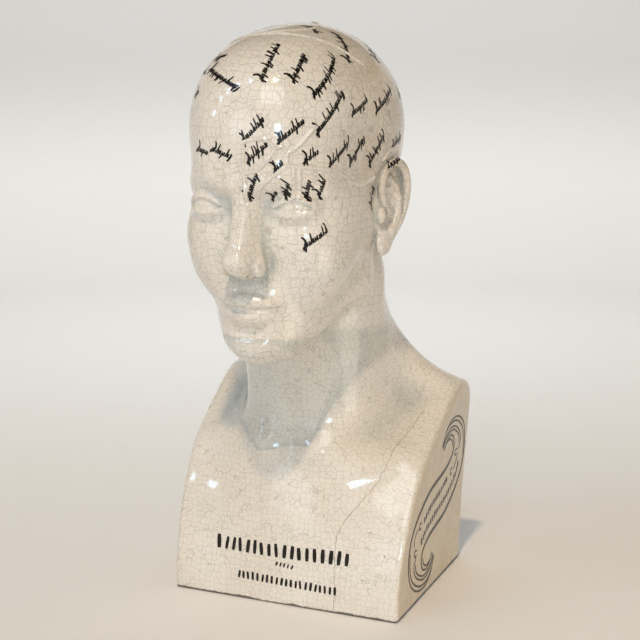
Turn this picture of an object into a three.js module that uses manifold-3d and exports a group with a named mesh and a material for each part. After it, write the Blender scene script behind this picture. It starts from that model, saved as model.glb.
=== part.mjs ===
// Phrenology head: a glazed earthenware bust, a bald head on a squared block of chest and shoulders.
// Millimetres, +Z up, face towards -Y, origin at the middle of the flat foot.
import * as THREE from "three";
import Module from "manifold-3d";

// Driving sizes of the whole bust
const HEIGHT = 300;
const BASE_WIDTH = 128.5;
const BASE_DEPTH = 108;
const SHOULDER_HEIGHT = 106;
const SHOULDER_FLARE = 5.5; // how far each side of the block leans out by the shoulders
const NECK_WIDTH = 76;

// Driving sizes of the head
const HEAD_HEIGHT = 161; // chin to crown
const HEAD_FORWARD = 31; // ear canals in front of the middle of the foot
const HEAD_NOD = 4; // degrees

// Rounding of the block's edges
const FRONT_EDGE = 3;
const SIDE_EDGE = 4.5;
const BACK_EDGE = 24; // along the top of the back
const FOOT_EDGE = 1.5;

// Half sizes, and the figure's own measures: the block's shares and the head's units
const HALF_WIDTH = BASE_WIDTH / 2;
const HALF_DEPTH = BASE_DEPTH / 2;
const HEAD_UNITS = 232; // chin to crown in head units, which are millimetres on a life-size head
const CROWN_UNITS = 118.6; // ear canals to crown
const UNIT = HEAD_HEIGHT / HEAD_UNITS;
const EAR_CANALS = [0, -HEAD_FORWARD, HEIGHT - CROWN_UNITS * UNIT];
const NOD = (HEAD_NOD * Math.PI) / 180;

// Fillets where the neck meets the head, and the hollow between the collar bones
const JAW_FILLET = 9;
const NAPE_FILLET = 27;
const HOLLOW = [17, 9, 13]; // half sizes
const HOLLOW_EDGE = 9;

const EDGE_STEP = 4.5; // between the columns beside the block's edges
const FOLD = 1.5; // how softly the two mirrored halves meet on the middle line

// Rays that find the surface: degrees round the head from the front, and up and down from its centre
const FACE_AZIMUTH = 42;
const FRONT_AZIMUTH = 75; // the columns up to here run down the front of the block
const BACK_AZIMUTH = 125; // and those up to here down its side
const HEAD_CENTRE = [0, -20, -10]; // in head units
const JAW_ELEVATION = -56; // of the line where head meets neck, at the sides
const JAW_SLANT = 28; // and how much lower than that it lies in front
const FACE_SHARE = 0.15; // of the way from that line to the crown, where the face begins
const FACE_COLUMNS = 14; // on half of the face, out to the outer corner of the eye
const CHEEK_COLUMNS = 4;
const SIDE_COLUMNS = 5;
const BACK_COLUMNS = 5;
const BLOCK_ROWS = 10;
const SHOULDER_ROWS = 7;
const NECK_ROWS = 5;

// Stretches of a column from the jaw line to the crown: the share where each ends, and its rows
const HEAD_STRETCHES = [
  [FACE_SHARE, 4], // under the chin
  [0.195, 4], // chin
  [0.255, 10], // mouth
  [0.3, 3], // upper lip
  [0.375, 7], // end of the nose
  [0.425, 3], // its bridge
  [0.54, 10], // eyes
  [0.6, 3], // brows
  [1, 10], // forehead and crown
];

// Rays that find an ear's surface: degrees up from its plane at the rim, then shares of the way in
const RIM_ANGLES = [-60, -15, 15, 40, 62, 82];
const INNER_SHARES = [0.68, 0.54, 0.4, 0.22];
const EAR_COLUMNS = 22;

const mix = (a, b, t) => a + (b - a) * t;
const mixPoints = (a, b, t) => a.map((value, i) => mix(value, b[i], t));
const clamp = THREE.MathUtils.clamp;
const radians = THREE.MathUtils.degToRad;
const onBlock = (x, y, z) => [x * HALF_WIDTH, y * HALF_DEPTH, z * SHOULDER_HEIGHT];
const onHead = (x, y, z) => [x * UNIT, EAR_CANALS[1] + y * UNIT, EAR_CANALS[2] + z * UNIT];

// Two forms, given by their distances, joined with a soft fillet
function blend(a, b, soft) {
  const near = Math.max(soft - Math.abs(a - b), 0) / soft;
  return Math.min(a, b) - (near * near * near * soft) / 6;
}

// What two forms share, and one form with another taken out of it, both with a soft edge
const within = (a, b, soft) => -blend(-a, -b, soft);
const carve = (a, b, soft) => -blend(-a, b, soft);

// Distance to an ellipsoid
function egg(p, centre, radii) {
  const x = (p[0] - centre[0]) / radii[0];
  const y = (p[1] - centre[1]) / radii[1];
  const z = (p[2] - centre[2]) / radii[2];
  const size = Math.sqrt(x * x + y * y + z * z);
  const slope = Math.sqrt((x / radii[0]) ** 2 + (y / radii[1]) ** 2 + (z / radii[2]) ** 2);
  return (size * (size - 1)) / Math.max(slope, 1e-6);
}

// Distance to a squarer ellipsoid, whose power is over 2
function pebble(p, centre, radii, power) {
  const q = p.map((value, i) => Math.abs(value - centre[i]) / radii[i] + 1e-4);
  const size = (q[0] ** power + q[1] ** power + q[2] ** power) ** (1 / power);
  const slopes = q.map((value, i) => value ** (power - 1) / radii[i]);
  const slope = Math.hypot(...slopes) * size ** (1 - power);
  return (size - 1) / Math.max(slope, 1e-4);
}

function ball(p, centre, radius) {
  return Math.sqrt((p[0] - centre[0]) ** 2 + (p[1] - centre[1]) ** 2 + (p[2] - centre[2]) ** 2) - radius;
}

// Distance to a rod with round ends, thicker at one end than the other
function rod(p, a, b, radiusA, radiusB) {
  const along = [b[0] - a[0], b[1] - a[1], b[2] - a[2]];
  const out = [p[0] - a[0], p[1] - a[1], p[2] - a[2]];
  const length2 = along[0] ** 2 + along[1] ** 2 + along[2] ** 2;
  const t = clamp((out[0] * along[0] + out[1] * along[1] + out[2] * along[2]) / length2, 0, 1);
  return ball(out, [along[0] * t, along[1] * t, along[2] * t], mix(radiusA, radiusB, t));
}

// Rods from point to point
function limb(p, points, radii) {
  let d = Infinity;
  for (let i = 0; i < points.length - 1; i++) {
    d = Math.min(d, rod(p, points[i], points[i + 1], radii[i], radii[i + 1]));
  }
  return d;
}

// The point as a form turned about a vertical line through the centre would see it
function turned(p, centre, degrees) {
  const angle = radians(-degrees);
  const x = p[0] - centre[0];
  const y = p[1] - centre[1];
  return [
    centre[0] + x * Math.cos(angle) - y * Math.sin(angle),
    centre[1] + x * Math.sin(angle) + y * Math.cos(angle),
    p[2],
  ];
}

// Head, in head units from the ear canals, on the bust's left half: the other half mirrors it
function skull(p) {
  let d = egg(p, [0, 18, 44], [72, 77, 72]); // braincase
  d = blend(d, pebble(p, [0, -20, 41], [63, 74, 72], 2.3), 30); // forehead
  d = blend(d, egg(p, [0, 28, 8], [60, 60, 50]), 24); // nape side of the braincase
  d = blend(d, pebble(p, [0, -34, -18], [63, 50, 60], 2.3), 22); // middle of the face
  d = blend(d, egg(p, [31, -56, -38], [25, 26, 34]), 24); // cheek
  d = blend(d, egg(p, [0, -60, -72], [34, 32, 34]), 22); // round the mouth
  d = blend(d, rod(p, [43, -10, -64], [15, -70, -97], 13, 12), 24); // jaw
  d = blend(d, rod(p, [47, -8, -24], [44, -8, -62], 14, 12), 22); // back of the jaw
  d = blend(d, egg(p, [0, -40, -84], [36, 40, 20]), 18); // under the jaw
  d = blend(d, egg(p, [0, -80, -99], [17, 14, 14]), 14); // chin
  return carve(d, egg(p, [86, -48, 24], [22, 34, 30]), 26); // temple
}

function brow(p, d) {
  const ridge = limb(p, [[7, -87, 13], [24, -84, 18], [37, -75, 17.5], [45, -64, 13]], [6, 6, 5.5, 4.5]);
  d = blend(d, ridge, 18);
  d = blend(d, egg(turned(p, [34, -63, -22], -32), [34, -63, -22], [17, 14, 12]), 22); // cheekbone
  d = carve(d, egg(p, [29, -101, -1], [19, 17, 11]), 13); // socket
  return carve(d, egg(p, [14, -98, -3], [7, 13, 11]), 9); // inner corner
}

function eye(p, d) {
  const centre = [31.5, -74, -1.5];
  const q = turned(p, centre, 15).map((value, i) => value - centre[i]);
  const [x, y, z] = q;
  const upperArc = Math.hypot(x, z + 13.5) - 19.5;
  const lowerArc = Math.hypot(x + 1, z - 22) - 26.5;
  const lid = egg(q, [0, 0, 0], [17.2, 14.6, 13.2]);
  const opening = (within(upperArc, lowerArc, 2) - 0.9 * lid) / 1.35; // narrower deeper in
  d = blend(d, lid, 7);
  d = carve(d, Math.max(opening, y + 6), 1.4);
  return blend(d, egg(q, [0, 0, 0], [15.6, 12, 12.2]), 1.4);
}

function nose(p, d) {
  let n = rod(p, [0, -84, 11], [0, -102, -31], 6.4, 7); // bridge
  n = blend(n, rod(p, [0, -80, 4], [0, -90, -28], 11, 9), 9); // its flanks
  n = blend(n, egg(p, [0, -106, -35.5], [8.4, 8, 7.6]), 9); // tip
  n = blend(n, egg(p, [0, -92, -37], [12.5, 13, 12]), 11);
  n = blend(n, egg(turned(p, [11.2, -95, -41], 22), [11.2, -95, -41], [5, 8.6, 6.2]), 7); // wing
  n = blend(n, rod(p, [0, -106, -41], [0, -94, -46], 3.4, 4), 4);
  return blend(d, n, 10);
}

function mouth(p, d) {
  const upper = [[0, -91, -66.6], [4.5, -91, -65.8], [9, -90, -66.2], [15, -87.2, -68], [22, -83.2, -70.4]];
  const lower = [[0, -89.6, -76.8], [7, -89.2, -76.4], [14, -86.4, -74.8], [21, -82.6, -71.6]];
  const seam = [[0, -95.6, -71.2], [5, -95.4, -70.8], [11, -93.4, -71.2], [18, -89.2, -71], [25, -84.6, -70.6]];
  d = blend(d, limb(p, upper, [4.4, 4.7, 4.4, 3.2, 1.2]), 5.5);
  d = blend(d, limb(p, lower, [5.8, 5.5, 3.9, 1.2]), 6);
  d = carve(d, limb(p, seam, [1.5, 1.5, 1.5, 1.5, 1.6]), 2.6);
  d = carve(d, egg(p, [0, -97, -89], [17, 7, 5]), 8); // hollow over the chin
  return carve(d, rod(p, [0, -98, -51], [0, -98.2, -60], 2.7, 3.2), 5); // groove under the nose
}

// A point of the part in head units, with the nod taken out
function toHead([x, y, z]) {
  const forward = (y - EAR_CANALS[1]) / UNIT;
  const up = (z - EAR_CANALS[2]) / UNIT;
  return [
    x / UNIT,
    forward * Math.cos(NOD) + up * Math.sin(NOD),
    up * Math.cos(NOD) - forward * Math.sin(NOD),
  ];
}

function head(point) {
  const p = toHead(point);
  return UNIT * mouth(p, nose(p, eye(p, brow(p, skull(p)))));
}

// Ear, in head units from its own middle: back, up, and out from the head. It leans back, and its back
// edge stands away from the head as if swung on the hinge in front.
const EAR_PLACE = [64, 7, -12];
const EAR_HINGE = [-2, -13, 0];
const EAR_LEAN = 10;
const EAR_FLARE = 16;
const RIM_POINTS = [
  [-4, -4, 3.5], [-11, 3, 4], [-14, 14, 4.2], [-10, 25, 4.4], [0, 31, 4.6], [10, 28.5, 4.6],
  [16, 19, 4.4], [17, 7, 4], [14.5, -5, 3.2], [9, -16, 2.4], [3, -25, 1.4],
];
const RIM = new THREE.CatmullRomCurve3(RIM_POINTS.map((p) => new THREE.Vector3(...p)), false, "catmullrom")
  .getPoints(20).map((p) => p.toArray());
const RIM_RADII = RIM.map((p, i) => 2.3 + 1.1 * Math.sin((Math.PI * i) / (RIM.length - 1)));
const GROOVE = [[-3, 23.5, 6.6], [8, 22, 6.6], [11.5, 11, 6.4], [11, -1, 6], [8.5, -11, 5.5]];
const INNER_RIDGE = [[4.5, -15, 2.5], [8, -6, 3], [8, 4, 3.2], [4, 13, 3], [-2, 20, 2.2]];
const RIDGE_BRANCH = [[7, 6, 2.6], [0, 11.5, 2.6], [-8, 12, 1.6]];

function ear(p) {
  let d = egg(p, [0, 3, -0.4], [17, 30.5, 4]);
  d = blend(d, egg(p, [-4, -26, 0.8], [8.5, 10.5, 4]), 5); // lobe
  d = carve(d, egg(p, [-2, -6, 7.5], [9.5, 13, 8]), 2.5); // bowl
  d = carve(d, limb(p, GROOVE, [3, 3.4, 3.2, 2.6, 2]), 3);
  const ridge = blend(limb(p, INNER_RIDGE, [3, 3.2, 3.4, 3, 2]), limb(p, RIDGE_BRANCH, [3, 2.6, 2]), 3);
  d = blend(d, ridge, 3);
  d = blend(d, limb(p, RIM, RIM_RADII), 3);
  d = blend(d, egg(p, [-12, -7.5, 3], [3.6, 6, 4.2]), 3); // flap before the ear canal
  d = blend(d, ball(p, [1, -18, 3], 3.6), 3); // and the knob below it
  return blend(d, egg(p, [-4, 0, -7], [7, 20, 8]), 4); // root, inside the head
}

// Neck, chest and block, as shares of the block's sizes
function neck(p) {
  const column = rod(p, onHead(0, 23, -57), onBlock(0, 0, 0.98), 0.487 * NECK_WIDTH, 0.5 * NECK_WIDTH);
  const muscle = rod(p, onHead(39, 24, -68), onBlock(0.3, -0.45, 0.88), 10 * UNIT, 6 * UNIT);
  return blend(column, muscle, 35 * UNIT);
}

const PROFILE_POWER = 1.9;
const PROFILE_CENTRE = 0.85 * HALF_DEPTH;
const PROFILE_REACH = PROFILE_CENTRE + HALF_DEPTH;

function torso(p) {
  const u = Math.max(PROFILE_CENTRE - p[1], 0) / PROFILE_REACH;
  const v = Math.max(p[2], 0) / SHOULDER_HEIGHT;
  const profile = (u ** PROFILE_POWER + v ** PROFILE_POWER) ** (1 / PROFILE_POWER);
  const [w, h, s] = [HALF_WIDTH, HALF_DEPTH, SHOULDER_HEIGHT];
  let d = (profile - 1) * 0.945 * s;
  d = blend(d, egg(p, onBlock(0, 0, 0.38), [1.08 * w, 0.92 * h, 0.56 * s]), 0.225 * s); // chest
  const collarBone = rod(p, onBlock(0.25, -0.7, 0.76), onBlock(0.85, -0.36, 0.7), 0.04 * s, 0.03 * s);
  d = blend(d, collarBone, 0.22 * s);
  const shoulderSlope = rod(p, onBlock(0.25, 0.22, 1.28), onBlock(1, 0.66, 0.863), 0.135 * s, 0.095 * s);
  return blend(d, shoulderSlope, 0.26 * s);
}

function halfWidthAt(z) {
  return HALF_WIDTH + SHOULDER_FLARE * clamp((z / SHOULDER_HEIGHT - 0.113) / 0.83, 0, 1.1) ** 1.4;
}

// The sides and the front of the block, flat faces met by a soft edge
function blockSides(wide, p) {
  return within(wide - halfWidthAt(p[2]), -p[1] - HALF_DEPTH, FRONT_EDGE);
}

// The whole casting without its ears, negative inside
function casting(point) {
  const wide = Math.abs(point[0]);
  const folded = Math.sqrt(wide * wide + FOLD * FOLD) - FOLD / (1 + (wide / (3 * FOLD)) ** 2);
  const p = [folded, point[1], point[2]];
  let d = blend(neck(p), torso(p), 0.3 * SHOULDER_HEIGHT);
  d = carve(d, egg(p, onBlock(0, -0.95, 0.92), HOLLOW), HOLLOW_EDGE);
  d = within(d, p[1] - HALF_DEPTH, BACK_EDGE);
  d = within(d, blockSides(wide, p), SIDE_EDGE);
  const nape = clamp(((p[1] - EAR_CANALS[1]) / UNIT - 16) / 57, 0, 1);
  return blend(d, head(p), mix(JAW_FILLET, NAPE_FILLET, nape));
}

// Where a ray from inside a form comes out of it
function surfaceAlong(from, toward, form) {
  const way = toward.map((value, i) => value - from[i]);
  const length = Math.hypot(...way);
  const at = (t) => from.map((value, i) => value + (way[i] * t) / length);
  let inside = 0;
  let outside = 0;
  for (let d = form(from); d < 0; d = form(at(outside))) {
    inside = outside;
    outside += Math.max(-0.8 * d, 0.3);
  }
  for (let halving = 0; halving < 12; halving++) {
    const middle = (inside + outside) / 2;
    if (form(at(middle)) < 0) inside = middle;
    else outside = middle;
  }
  return at((inside + outside) / 2);
}

// Shares of the way along a face of the block, with a narrow first or last step beside a rounded edge
function sharesAlong(count, first, last) {
  const inner = count - (first > 0) - (last > 0);
  const shares = first > 0 ? [0] : [];
  for (let i = 0; i <= inner; i++) shares.push(mix(first, 1 - last, i / inner));
  if (last > 0) shares.push(1);
  return shares;
}

// Columns from the front of the bust to its back: the azimuth on the head, which is closer on the face,
// and the face of the block that the column runs down, with its share of the way along that
function halfColumns() {
  const front = FACE_COLUMNS + CHEEK_COLUMNS;
  const onFace = (i) => FACE_AZIMUTH * (i / FACE_COLUMNS) ** 1.15;
  const onCheek = (i) => mix(FACE_AZIMUTH, FRONT_AZIMUTH, (i - FACE_COLUMNS) / CHEEK_COLUMNS);
  const inFront = (i) => (i < FACE_COLUMNS ? onFace(i) : onCheek(i));
  const beside = (i) => mix(FRONT_AZIMUTH, BACK_AZIMUTH, (i + 1) / SIDE_COLUMNS);
  const behind = (i) => mix(BACK_AZIMUTH, 180, (i + 1) / BACK_COLUMNS);
  const fronts = sharesAlong(front, 0, EDGE_STEP / HALF_WIDTH);
  const sides = sharesAlong(SIDE_COLUMNS, EDGE_STEP / BASE_DEPTH, EDGE_STEP / BASE_DEPTH);
  const backs = sharesAlong(BACK_COLUMNS, EDGE_STEP / HALF_WIDTH, 0);
  return [
    ...fronts.map((share, i) => ({ azimuth: inFront(i), place: "front", share })),
    ...sides.slice(1).map((share, i) => ({ azimuth: beside(i), place: "side", share })),
    ...backs.slice(1).map((share, i) => ({ azimuth: behind(i), place: "back", share })),
  ];
}

// A point of guide ring t on the block: 0 is its foot, 1 runs round the shoulders
function blockGuide({ place, share }, t) {
  const turn = t * radians(84);
  const edgeZ = SHOULDER_HEIGHT * Math.sin(turn) ** (2 / PROFILE_POWER);
  const edgeY = PROFILE_CENTRE - PROFILE_REACH * Math.cos(turn) ** (2 / PROFILE_POWER);
  const backZ = 0.92 * SHOULDER_HEIGHT * t;
  const edge = [halfWidthAt(edgeZ), edgeY, edgeZ];
  const back = [halfWidthAt(backZ), HALF_DEPTH, backZ];
  if (place === "front") {
    const forward = 1 - share * share; // the guide bows out round the chest
    const z = mix(0.8 * SHOULDER_HEIGHT * t, edgeZ, share);
    return [share * edge[0], mix(edgeY, -HALF_DEPTH, forward), z];
  }
  if (place === "side") return mixPoints(edge, back, share);
  return mixPoints(back, [0, HALF_DEPTH, backZ], share);
}

const BLOCK_CENTRE = onBlock(0, 0.1, 0.52);
const headCentre = onHead(...HEAD_CENTRE);

// A point of the guide ring round the neck, lower in front
function neckGuide(azimuth) {
  const front = Math.cos(radians(azimuth));
  const radius = 0.53 * NECK_WIDTH;
  return [
    radius * Math.sin(radians(azimuth)),
    -0.11 * HALF_DEPTH - radius * front,
    (1.2 - 0.2 * front) * SHOULDER_HEIGHT,
  ];
}

// A point of the head, at a share of the way from the jaw line to the crown: a guide point on the bare
// skull comes first, then a ray through it from nearer the face, which meets the nose's sides squarely
function headPoint(azimuth, share) {
  const jaw = JAW_ELEVATION - JAW_SLANT * Math.cos(radians(azimuth));
  const elevation = radians(mix(jaw, 90, share));
  const out = Math.cos(elevation);
  const way = [out * Math.sin(radians(azimuth)), -out * Math.cos(radians(azimuth)), Math.sin(elevation)];
  const guide = surfaceAlong(headCentre, headCentre.map((value, i) => value + way[i]), (p) =>
    UNIT * skull(toHead([Math.abs(p[0]), p[1], p[2]])),
  );
  const nearness = 0.6 * THREE.MathUtils.smoothstep(share, 0, FACE_SHARE);
  const [, y, z] = mixPoints(headCentre, guide, nearness);
  return surfaceAlong([0, y, z], guide, casting);
}

// One column of the skin, from the foot to just under the crown
function columnPoints(column) {
  const { azimuth } = column;
  const points = [];
  for (let row = 0; row <= BLOCK_ROWS; row++) {
    const guide = blockGuide(column, row / BLOCK_ROWS);
    const from = [0, BLOCK_CENTRE[1], Math.min(guide[2], BLOCK_CENTRE[2])];
    points.push(surfaceAlong(from, guide, casting));
  }
  const shoulder = blockGuide(column, 1);
  const collar = neckGuide(azimuth);
  for (let row = 1; row <= SHOULDER_ROWS; row++) {
    const t = row / SHOULDER_ROWS;
    const guide = mixPoints(shoulder, collar, t);
    const from = mixPoints(BLOCK_CENTRE, [0, -0.11 * HALF_DEPTH, guide[2]], t ** 3);
    points.push(surfaceAlong(from, guide, casting));
  }
  const jaw = headPoint(azimuth, 0);
  for (let row = 1; row < NECK_ROWS; row++) {
    const t = row / NECK_ROWS;
    const guide = mixPoints(collar, jaw, t);
    const level = [0, mix(-0.11 * HALF_DEPTH, headCentre[1], t * t), guide[2]];
    points.push(surfaceAlong(mixPoints(level, headCentre, t * t), guide, casting));
  }
  let from = 0;
  for (const [to, count] of HEAD_STRETCHES) {
    for (let row = 0; row < count; row++) points.push(headPoint(azimuth, mix(from, to, row / count)));
    from = to;
  }
  return points;
}

// Two triangles over four corners, split along the line that lies closer to the form
function split(corners, positions, form) {
  const [a, b, c, d] = corners;
  const at = (vertex) => positions.slice(3 * vertex, 3 * vertex + 3);
  const gap = (from, to) => Math.abs(form(mixPoints(at(from), at(to), 0.5)));
  return gap(a, c) < gap(b, d) - 1e-6 ? [a, b, c, a, c, d] : [a, b, d, b, c, d];
}

// The closed skin of rings of points, each ring counter-clockwise seen from its last, with a point to
// close each end
function ringSkin(rings, first, last, form) {
  const count = rings[0].length;
  const positions = [...first, ...last, ...rings.flat(2)];
  const vertex = (ring, i) => 2 + ring * count + (i % count);
  const triangles = [];
  for (let i = 0; i < count; i++) {
    triangles.push(0, vertex(0, i + 1), vertex(0, i));
    triangles.push(1, vertex(rings.length - 1, i), vertex(rings.length - 1, i + 1));
    for (let ring = 0; ring < rings.length - 1; ring++) {
      const corners = [vertex(ring, i), vertex(ring, i + 1), vertex(ring + 1, i + 1), vertex(ring + 1, i)];
      triangles.push(...split(corners, positions, form));
    }
  }
  const geometry = new THREE.BufferGeometry();
  geometry.setAttribute("position", new THREE.Float32BufferAttribute(positions, 3));
  geometry.setIndex(triangles);
  return geometry;
}

// The casting without its ears: columns mirrored across the middle, and a ring turned in under the foot
function bodySkin() {
  const half = halfColumns().map(columnPoints);
  const mirrored = half.slice(1, -1).map((column) => column.map(([x, y, z]) => [-x, y, z]));
  const columns = [...half, ...mirrored.reverse()];
  const foot = columns.map(([[x, y]]) => {
    const inset = 1 - FOOT_EDGE / Math.hypot(x, y);
    return [x * inset, y * inset, 0];
  });
  const rings = columns[0].map((_, row) => columns.map((column) => column[row]));
  rings[0] = rings[0].map(([x, y]) => [x, y, FOOT_EDGE]);
  return ringSkin([foot, ...rings], [0, 0, 0], headPoint(0, 1), casting);
}

// One ray fan of an ear's rings: round the rim from the back of it, then in over the hollows
function earColumn(angle) {
  const reach = [18 * Math.cos(angle), 34 * Math.sin(angle)];
  const core = [0.8 * reach[0], 0.8 * reach[1], 0.3];
  const points = RIM_ANGLES.map((degrees) => {
    const out = Math.cos(radians(degrees));
    const toward = [core[0] + out * Math.cos(angle), core[1] + out * Math.sin(angle)];
    return surfaceAlong(core, [...toward, core[2] + Math.sin(radians(degrees))], ear);
  });
  const inner = INNER_SHARES.map((share) => {
    const [back, up] = [share * reach[0], share * reach[1]];
    return surfaceAlong([back, up, -1.5], [back, up, 1], ear);
  });
  const under = [0.5 * reach[0], 0.5 * reach[1]];
  return [surfaceAlong([...under, -1.5], [...under, -3], ear), ...points, ...inner];
}

function earSkin() {
  const columns = Array.from({ length: EAR_COLUMNS }, (_, i) => earColumn((2 * Math.PI * i) / EAR_COLUMNS));
  const rings = columns[0].map((_, ring) => columns.map((column) => column[ring]));
  const back = surfaceAlong([0, 0, -1.5], [0, 0, -3], ear);
  const front = surfaceAlong([0, 0, -1.5], [0, 0, 1], ear);
  return ringSkin(rings, back, front, ear);
}

// Moves a skin of ear points (back, up, out) to its place on the bust's left side
function placeEar(geometry) {
  const place = new THREE.Matrix4().makeTranslation(...EAR_CANALS);
  const step = new THREE.Matrix4();
  place.multiply(step.makeRotationX(NOD));
  place.multiply(step.makeScale(UNIT, UNIT, UNIT));
  place.multiply(step.makeTranslation(...EAR_PLACE));
  place.multiply(step.makeRotationX(-radians(EAR_LEAN)));
  place.multiply(step.makeTranslation(...EAR_HINGE));
  place.multiply(step.makeRotationZ(-radians(EAR_FLARE)));
  place.multiply(step.makeTranslation(...EAR_HINGE.map((value) => -value)));
  const ways = [[0, 1, 0], [0, 0, 1], [1, 0, 0]].map((way) => new THREE.Vector3(...way));
  place.multiply(step.makeBasis(...ways));
  return geometry.applyMatrix4(place);
}

// A solid for joining; the mirrored one is turned inside out, so its triangles are turned back
function solidOf(geometry, mirrored) {
  const positions = Float32Array.from(geometry.attributes.position.array);
  const triangles = Uint32Array.from(geometry.index.array);
  if (mirrored) {
    for (let i = 0; i < positions.length; i += 3) positions[i] *= -1;
    triangles.reverse();
  }
  return new wasm.Manifold(new wasm.Mesh({ numProp: 3, vertProperties: positions, triVerts: triangles }));
}

function geometryOf(solid) {
  const { vertProperties, triVerts } = solid.getMesh();
  const geometry = new THREE.BufferGeometry();
  geometry.setAttribute("position", new THREE.BufferAttribute(vertProperties, 3));
  geometry.setIndex(new THREE.BufferAttribute(triVerts, 1));
  return geometry;
}

const wasm = await Module();
wasm.setup();
const leftEar = placeEar(earSkin());
const whole = solidOf(bodySkin(), false).add(solidOf(leftEar, false)).add(solidOf(leftEar, true));

const glaze = new THREE.MeshStandardMaterial({ color: 0xe6dccb, roughness: 0.2, metalness: 0 });
const bust = new THREE.Mesh(geometryOf(whole), glaze);
bust.name = "bust";
const part = new THREE.Group();
part.add(bust);

export default part;
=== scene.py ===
"""Phrenology head: the finely carved and glazed surface of the bust, its print, and a plain stage."""
from collections import namedtuple
import math

import bpy
import numpy as np
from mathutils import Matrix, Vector


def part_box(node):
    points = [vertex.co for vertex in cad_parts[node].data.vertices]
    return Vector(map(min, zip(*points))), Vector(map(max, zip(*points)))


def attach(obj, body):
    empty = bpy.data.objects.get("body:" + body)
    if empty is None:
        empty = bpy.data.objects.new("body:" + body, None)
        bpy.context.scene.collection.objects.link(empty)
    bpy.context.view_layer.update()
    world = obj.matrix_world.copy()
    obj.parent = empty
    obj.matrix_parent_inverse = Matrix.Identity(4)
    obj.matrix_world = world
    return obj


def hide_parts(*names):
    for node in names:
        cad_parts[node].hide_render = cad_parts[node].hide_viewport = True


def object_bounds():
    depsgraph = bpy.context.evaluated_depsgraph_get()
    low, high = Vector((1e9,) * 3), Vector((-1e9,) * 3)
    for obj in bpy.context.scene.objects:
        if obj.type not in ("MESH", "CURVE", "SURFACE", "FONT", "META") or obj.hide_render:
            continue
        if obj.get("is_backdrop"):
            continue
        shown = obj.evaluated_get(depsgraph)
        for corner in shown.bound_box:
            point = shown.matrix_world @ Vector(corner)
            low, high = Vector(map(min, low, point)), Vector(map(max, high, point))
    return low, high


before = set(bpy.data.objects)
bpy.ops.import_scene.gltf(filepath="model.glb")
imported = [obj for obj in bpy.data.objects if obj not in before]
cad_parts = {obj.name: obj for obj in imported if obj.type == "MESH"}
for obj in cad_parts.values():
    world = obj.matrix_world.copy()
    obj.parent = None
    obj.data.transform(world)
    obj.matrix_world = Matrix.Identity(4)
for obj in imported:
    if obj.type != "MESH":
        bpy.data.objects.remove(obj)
cad_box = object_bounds()
MM = 0.001

# Driving sizes of the whole bust, in millimetres
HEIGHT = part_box("bust")[1][2] / MM
BASE_WIDTH = 128.5
BASE_DEPTH = 108.0
SHOULDER_HEIGHT = 106.0
SHOULDER_FLARE = 5.5
NECK_WIDTH = 76.0
HEAD_HEIGHT = 161.0
HEAD_FORWARD = 31.0
HEAD_NOD = 4.0  # degrees

# Rounding of the block's edges
FRONT_EDGE = 3.0
SIDE_EDGE = 4.5
BACK_EDGE = 24.0  # along the top of the back
FOOT_EDGE = 1.5
FOLD = 1.5  # how softly the two mirrored halves meet on the middle line

# Fillets where the head, the neck, the chest and the ears meet, and the hollow between the collar bones
JAW_FILLET = 9.0
NAPE_FILLET = 27.0
NECK_FILLET = 0.3 * SHOULDER_HEIGHT
EAR_FILLET = 1.6
HOLLOW = (17, 9, 13)  # half sizes
HOLLOW_EDGE = 9.0

# The nape's wider fillet comes in behind the ear canals, from here on and over this far, in head units
NAPE_FROM = 16
NAPE_OVER = 57

# How the block widens upwards: from which share of its height, over which share, how far and how bent
FLARE_FROM = 0.113
FLARE_OVER = 0.83
FLARE_MOST = 1.1
FLARE_BEND = 1.4

# Half sizes and the head's own units, which are millimetres on a life-size head
HALF_WIDTH = BASE_WIDTH / 2
HALF_DEPTH = BASE_DEPTH / 2
HEAD_UNITS = 232.0  # chin to crown
CROWN_UNITS = 118.6  # ear canals to crown
UNIT = HEAD_HEIGHT / HEAD_UNITS
EAR_CANALS = np.array([0, -HEAD_FORWARD, HEIGHT - CROWN_UNITS * UNIT])


def mix(a, b, t):
    return a + (b - a) * t


def on_block(x, y, z):
    return np.array([x * HALF_WIDTH, y * HALF_DEPTH, z * SHOULDER_HEIGHT])


def on_head(x, y, z):
    return EAR_CANALS + UNIT * np.array([x, y, z])


# Forms, as distances that are negative inside
def blend(a, b, soft):
    """Two forms joined with a soft fillet."""
    near = np.maximum(soft - np.abs(a - b), 0) / soft
    return np.minimum(a, b) - near ** 3 * soft / 6


def within(a, b, soft):
    """The part of one form that lies inside another, with a rounded edge."""
    return -blend(-a, -b, soft)


def carve(a, b, soft):
    """A form less another, with a rounded edge."""
    return -blend(-a, b, soft)


def length(p):
    return np.sqrt((p * p).sum(-1))


def ball(p, centre, radius):
    return length(p - np.float32(centre)) - radius


def egg(p, centre, radii):
    """Distance to an ellipsoid."""
    radii = np.float32(radii)
    q = (p - np.float32(centre)) / radii
    size = length(q)
    return size * (size - 1) / np.maximum(length(q / radii), 1e-6)


def pebble(p, centre, radii, power):
    """Distance to a squarer ellipsoid, whose power is over 2."""
    radii = np.float32(radii)
    q = np.abs(p - np.float32(centre)) / radii + 1e-4
    size = (q ** power).sum(-1) ** (1 / power)
    slope = length(q ** (power - 1) / radii) * size ** (1 - power)
    return (size - 1) / np.maximum(slope, 1e-4)


def rod(p, a, b, radius_a, radius_b):
    """Distance to a rod with round ends, thicker at one end than the other."""
    a = np.float32(a)
    along = np.float32(b) - a
    t = np.clip(((p - a) @ along) / float(along @ along), 0, 1)
    return length(p - a - t[..., None] * along) - mix(radius_a, radius_b, t)


def limb(p, points, radii):
    """Rods from point to point."""
    rods = [rod(p, points[i], points[i + 1], radii[i], radii[i + 1]) for i in range(len(points) - 1)]
    return np.minimum.reduce(rods)


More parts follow.
